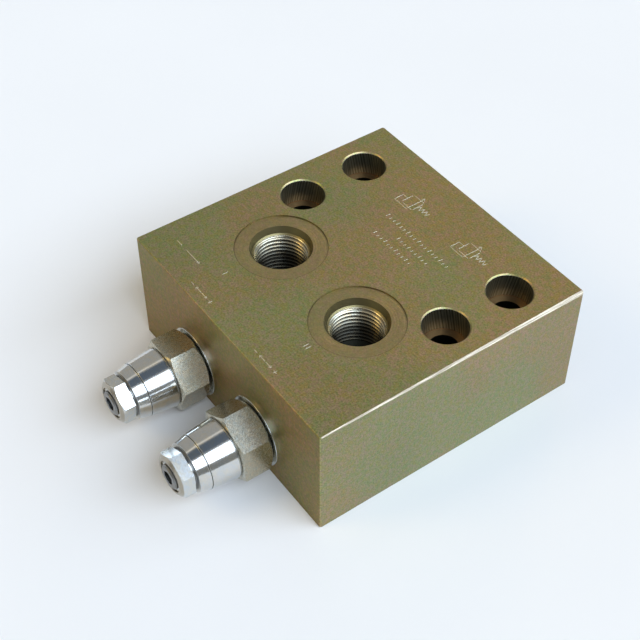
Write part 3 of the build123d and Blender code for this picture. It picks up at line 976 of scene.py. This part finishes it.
def arrow_sign(start, end, head=1.0):
    """A line with a two-stroke head at its end."""
    (x0, y0), (x1, y1) = start, end
    length = ((x1 - x0) ** 2 + (y1 - y0) ** 2) ** 0.5
    dx = (x1 - x0) / length * head
    dy = (y1 - y0) / length * head
    left = (x1 - dx - 0.6 * dy, y1 - dy + 0.6 * dx)
    right = (x1 - dx + 0.6 * dy, y1 - dy - 0.6 * dx)
    return [[start, end], [left, end], [end, right]]


def relief_sign(x, y):
    """A relief valve: a square with an arrow up through it, a spring on its right and a pilot line."""
    spring = [(x + 3.2 + 0.9 * step, y + (1.2 if step % 2 else -1.2)) for step in range(8)]
    pilot = [(x + 1.2, y - 4.4), (x - 6.0, y - 4.4), (x - 6.0, y), (x - 3.2, y)]
    arrow = arrow_sign((x + 1.2, y - 5.2), (x + 1.2, y + 5.2), 1.4)
    return box_sign(x, y, 6.4) + arrow + [spring] + [pilot]


def turn_sign(x, y):
    """A minus, a two-way arrow and a plus."""
    minus = [[(x - 7.0, y), (x - 5.0, y)]]
    plus = [[(x + 5.0, y), (x + 7.0, y)], [(x + 6.0, y - 1.0), (x + 6.0, y + 1.0)]]
    return minus + plus + arrow_sign((x, y), (x + 3.6, y)) + arrow_sign((x, y), (x - 3.6, y))


def tally_row(first_x, last_x, y, height):
    """A row of upright strokes that lean a little. The first and every third one after it are taller."""
    spacing, lean = 2.1, 0.3
    row = []
    for count, x in enumerate(np.arange(first_x, last_x, spacing)):
        tall = height if count % 3 else 1.5 * height
        row.append([(x, y), (x + lean, y + tall)])
    return row


signs = relief_sign(-15, 17) + relief_sign(19, 17)
signs += tally_row(-15, 21, 3.5, 1.7) + tally_row(-2, 15, -1.5, 1.5) + tally_row(-10, 12, -6.5, 1.5)
signs += turn_sign(cartridge_a_x / mm, -76.5) + turn_sign(cartridge_b_x / mm, -76.5)
signs += [[(-24, -65.5), (-24, -62.5)], [(23, -62.2), (23, -59.2)], [(24.4, -62.2), (24.4, -59.2)]]
signs += [[(-50, -69), (-46, -69)]] + arrow_sign((-44, -69), (-34, -69))
print(len(signs), "strokes")


# %% Material: scribed burr
def scribed_finish():
    """Bare steel thrown up by the scriber: brighter and rougher than the plate."""
    material, tree, shader, place = new_material("scribed burr")
    fine = add_grain(tree, shader, place, 3600.0, 8e-6, 0.35, 0.55)
    colour = blend_node(tree, fine, (0.50, 0.46, 0.33, 1), (0.90, 0.86, 0.72, 1))
    tree.links.new(colour, shader.inputs["Base Color"])
    return material


finish_piece(engraving("scribed_marks", signs), "valve", scribed_finish())

# %% [markdown]
# ## Floor
#
# The object stands on a pale, dull, slightly uneven floor that runs far past the edges of the view. A
# curved backdrop would hide the horizon too, but a large flat square does the same from above with four
# corners.

# %% Floor
reach, level = 3.0, -0.02 * mm
floor_mesh = bpy.data.meshes.new("floor")
floor_corners = [(x * reach, y * reach, level) for x, y in ((-1, -1), (1, -1), (1, 1), (-1, 1))]
floor_mesh.from_pydata(floor_corners, [], [(0, 1, 2, 3)])
floor = bpy.data.objects.new("floor", floor_mesh)
bpy.context.scene.collection.objects.link(floor)
floor_material, tree, shader, place = new_material("pale floor", metallic=0.0)
shade = blend_node(tree, noise_node(tree, place, 9.0), (0.86, 0.86, 0.86, 1), (0.90, 0.90, 0.90, 1))
tree.links.new(shade, shader.inputs["Base Color"])
shader.inputs["Roughness"].default_value = 0.9

# From below, and for light that starts right under the object, the floor is clear, so the underside shows.
clear = tree.nodes.new("ShaderNodeBsdfTransparent")
seen = tree.nodes.new("ShaderNodeMixShader")
from_below = tree.nodes.new("ShaderNodeNewGeometry").outputs["Backfacing"]
ray_length = tree.nodes.new("ShaderNodeLightPath").outputs["Ray Length"]
right_under = math_node(tree, "LESS_THAN", ray_length, 0.1 * mm)
link(tree, math_node(tree, "MAXIMUM", from_below, right_under), seen.inputs[0])
link(tree, shader.outputs[0], seen.inputs[1])
link(tree, clear.outputs[0], seen.inputs[2])
link(tree, seen.outputs[0], tree.nodes["Material Output"].inputs["Surface"])
floor.data.materials.append(floor_material)
print("floor at", level)

# %% [markdown]
# ## Light
#
# Polished metal shows its surroundings, so the studio is written down as a sky that is worked out from
# the direction: one large cool soft box on the right, a dark gap above it, a thin cream strip overhead,
# two small warm lamps on the left, and soft grey all round. Area lights could do the same, but the bands
# of light along a turned sleeve follow angles about its axis, and a sky lets those angles be written
# down.

# %% Sky
world = bpy.data.worlds.new("studio")
bpy.context.scene.world = world
world.use_nodes = True
tree = world.node_tree
sky = tree.nodes["Background"]
direction = tree.nodes.new("ShaderNodeTexCoord").outputs["Generated"]
sky_x, sky_y, sky_z = split_node(tree, direction)
turn = math_node(tree, "ARCTAN2", sky_z, sky_x)


def band(start, end, soft=3.0):
    """A strip of the sky between two angles about the cartridges' direction, from +X up to +Z."""
    return between(tree, turn, radians(start), radians(end), radians(soft))


def patch(toward, inner, outer):
    """A round soft patch of the sky: 1 within an inner angle of a direction, 0 beyond an outer one."""
    facing = vector_node(tree, "DOT_PRODUCT", direction, Vector(toward).normalized())
    return step_node(tree, facing, cos(radians(outer)), cos(radians(inner)))


def lamp_strip(start, end, soft=3.0):
    """A band that stops short of the sky's far front and back, as a real soft box has two ends."""
    return math_node(tree, "MULTIPLY", band(start, end, soft), overhead)


overhead = between(tree, sky_y, -0.35, 0.85, 0.12)
colour = blend_node(tree, band(-1, 26, 2), (0.42, 0.41, 0.38, 1), (0.24, 0.25, 0.25, 1))
for amount, light in (
    (lamp_strip(70, 104), (0.12, 0.15, 0.19, 1)),
    (lamp_strip(108, 114, 2), (0.90, 0.87, 0.80, 1)),
    (lamp_strip(28, 64, 2.5), (3.9, 4.5, 5.3, 1)),
    (patch((-0.55, 0.75, 0.36), 5, 9), (3.4, 2.3, 1.0, 1)),
    (patch((-0.37, -0.70, 0.60), 8, 13), (4.5, 3.2, 1.2, 1)),
):
    colour = blend_node(tree, amount, colour, light)
tree.links.new(colour, sky.inputs["Color"])
sky.inputs["Strength"].default_value = 1.0
print(world.name, len(tree.nodes), "nodes")

# %% [markdown]
# ## Camera
#
# The camera looks down at the block's right front corner from about half a metre, which gives the mild
# convergence of a product shot. It aims near the middle of the CAD box. A longer lens from further away
# would show the same side with flatter perspective, and a shorter one would splay the near corner.

# %% Camera
azimuth, elevation = radians(54.45), radians(45.75)
distance = 0.4925
aim = (cad_low + cad_high) / 2 + Vector((-2.3, 4.25, 2.0)) * mm
back = Vector((sin(azimuth) * cos(elevation), -cos(azimuth) * cos(elevation), sin(elevation)))
camera_data = bpy.data.cameras.new("camera")
camera_data.lens = 72.96
camera_data.sensor_width = 36.0
camera_data.clip_start = 0.01
camera = bpy.data.objects.new("camera", camera_data)
camera.location = aim + back * distance
camera.rotation_euler = back.to_track_quat("Z", "Y").to_euler()
bpy.context.scene.collection.objects.link(camera)
bpy.context.scene.camera = camera
bpy.context.scene.view_settings.view_transform = "Standard"
print("camera", [round(v, 4) for v in camera.location])
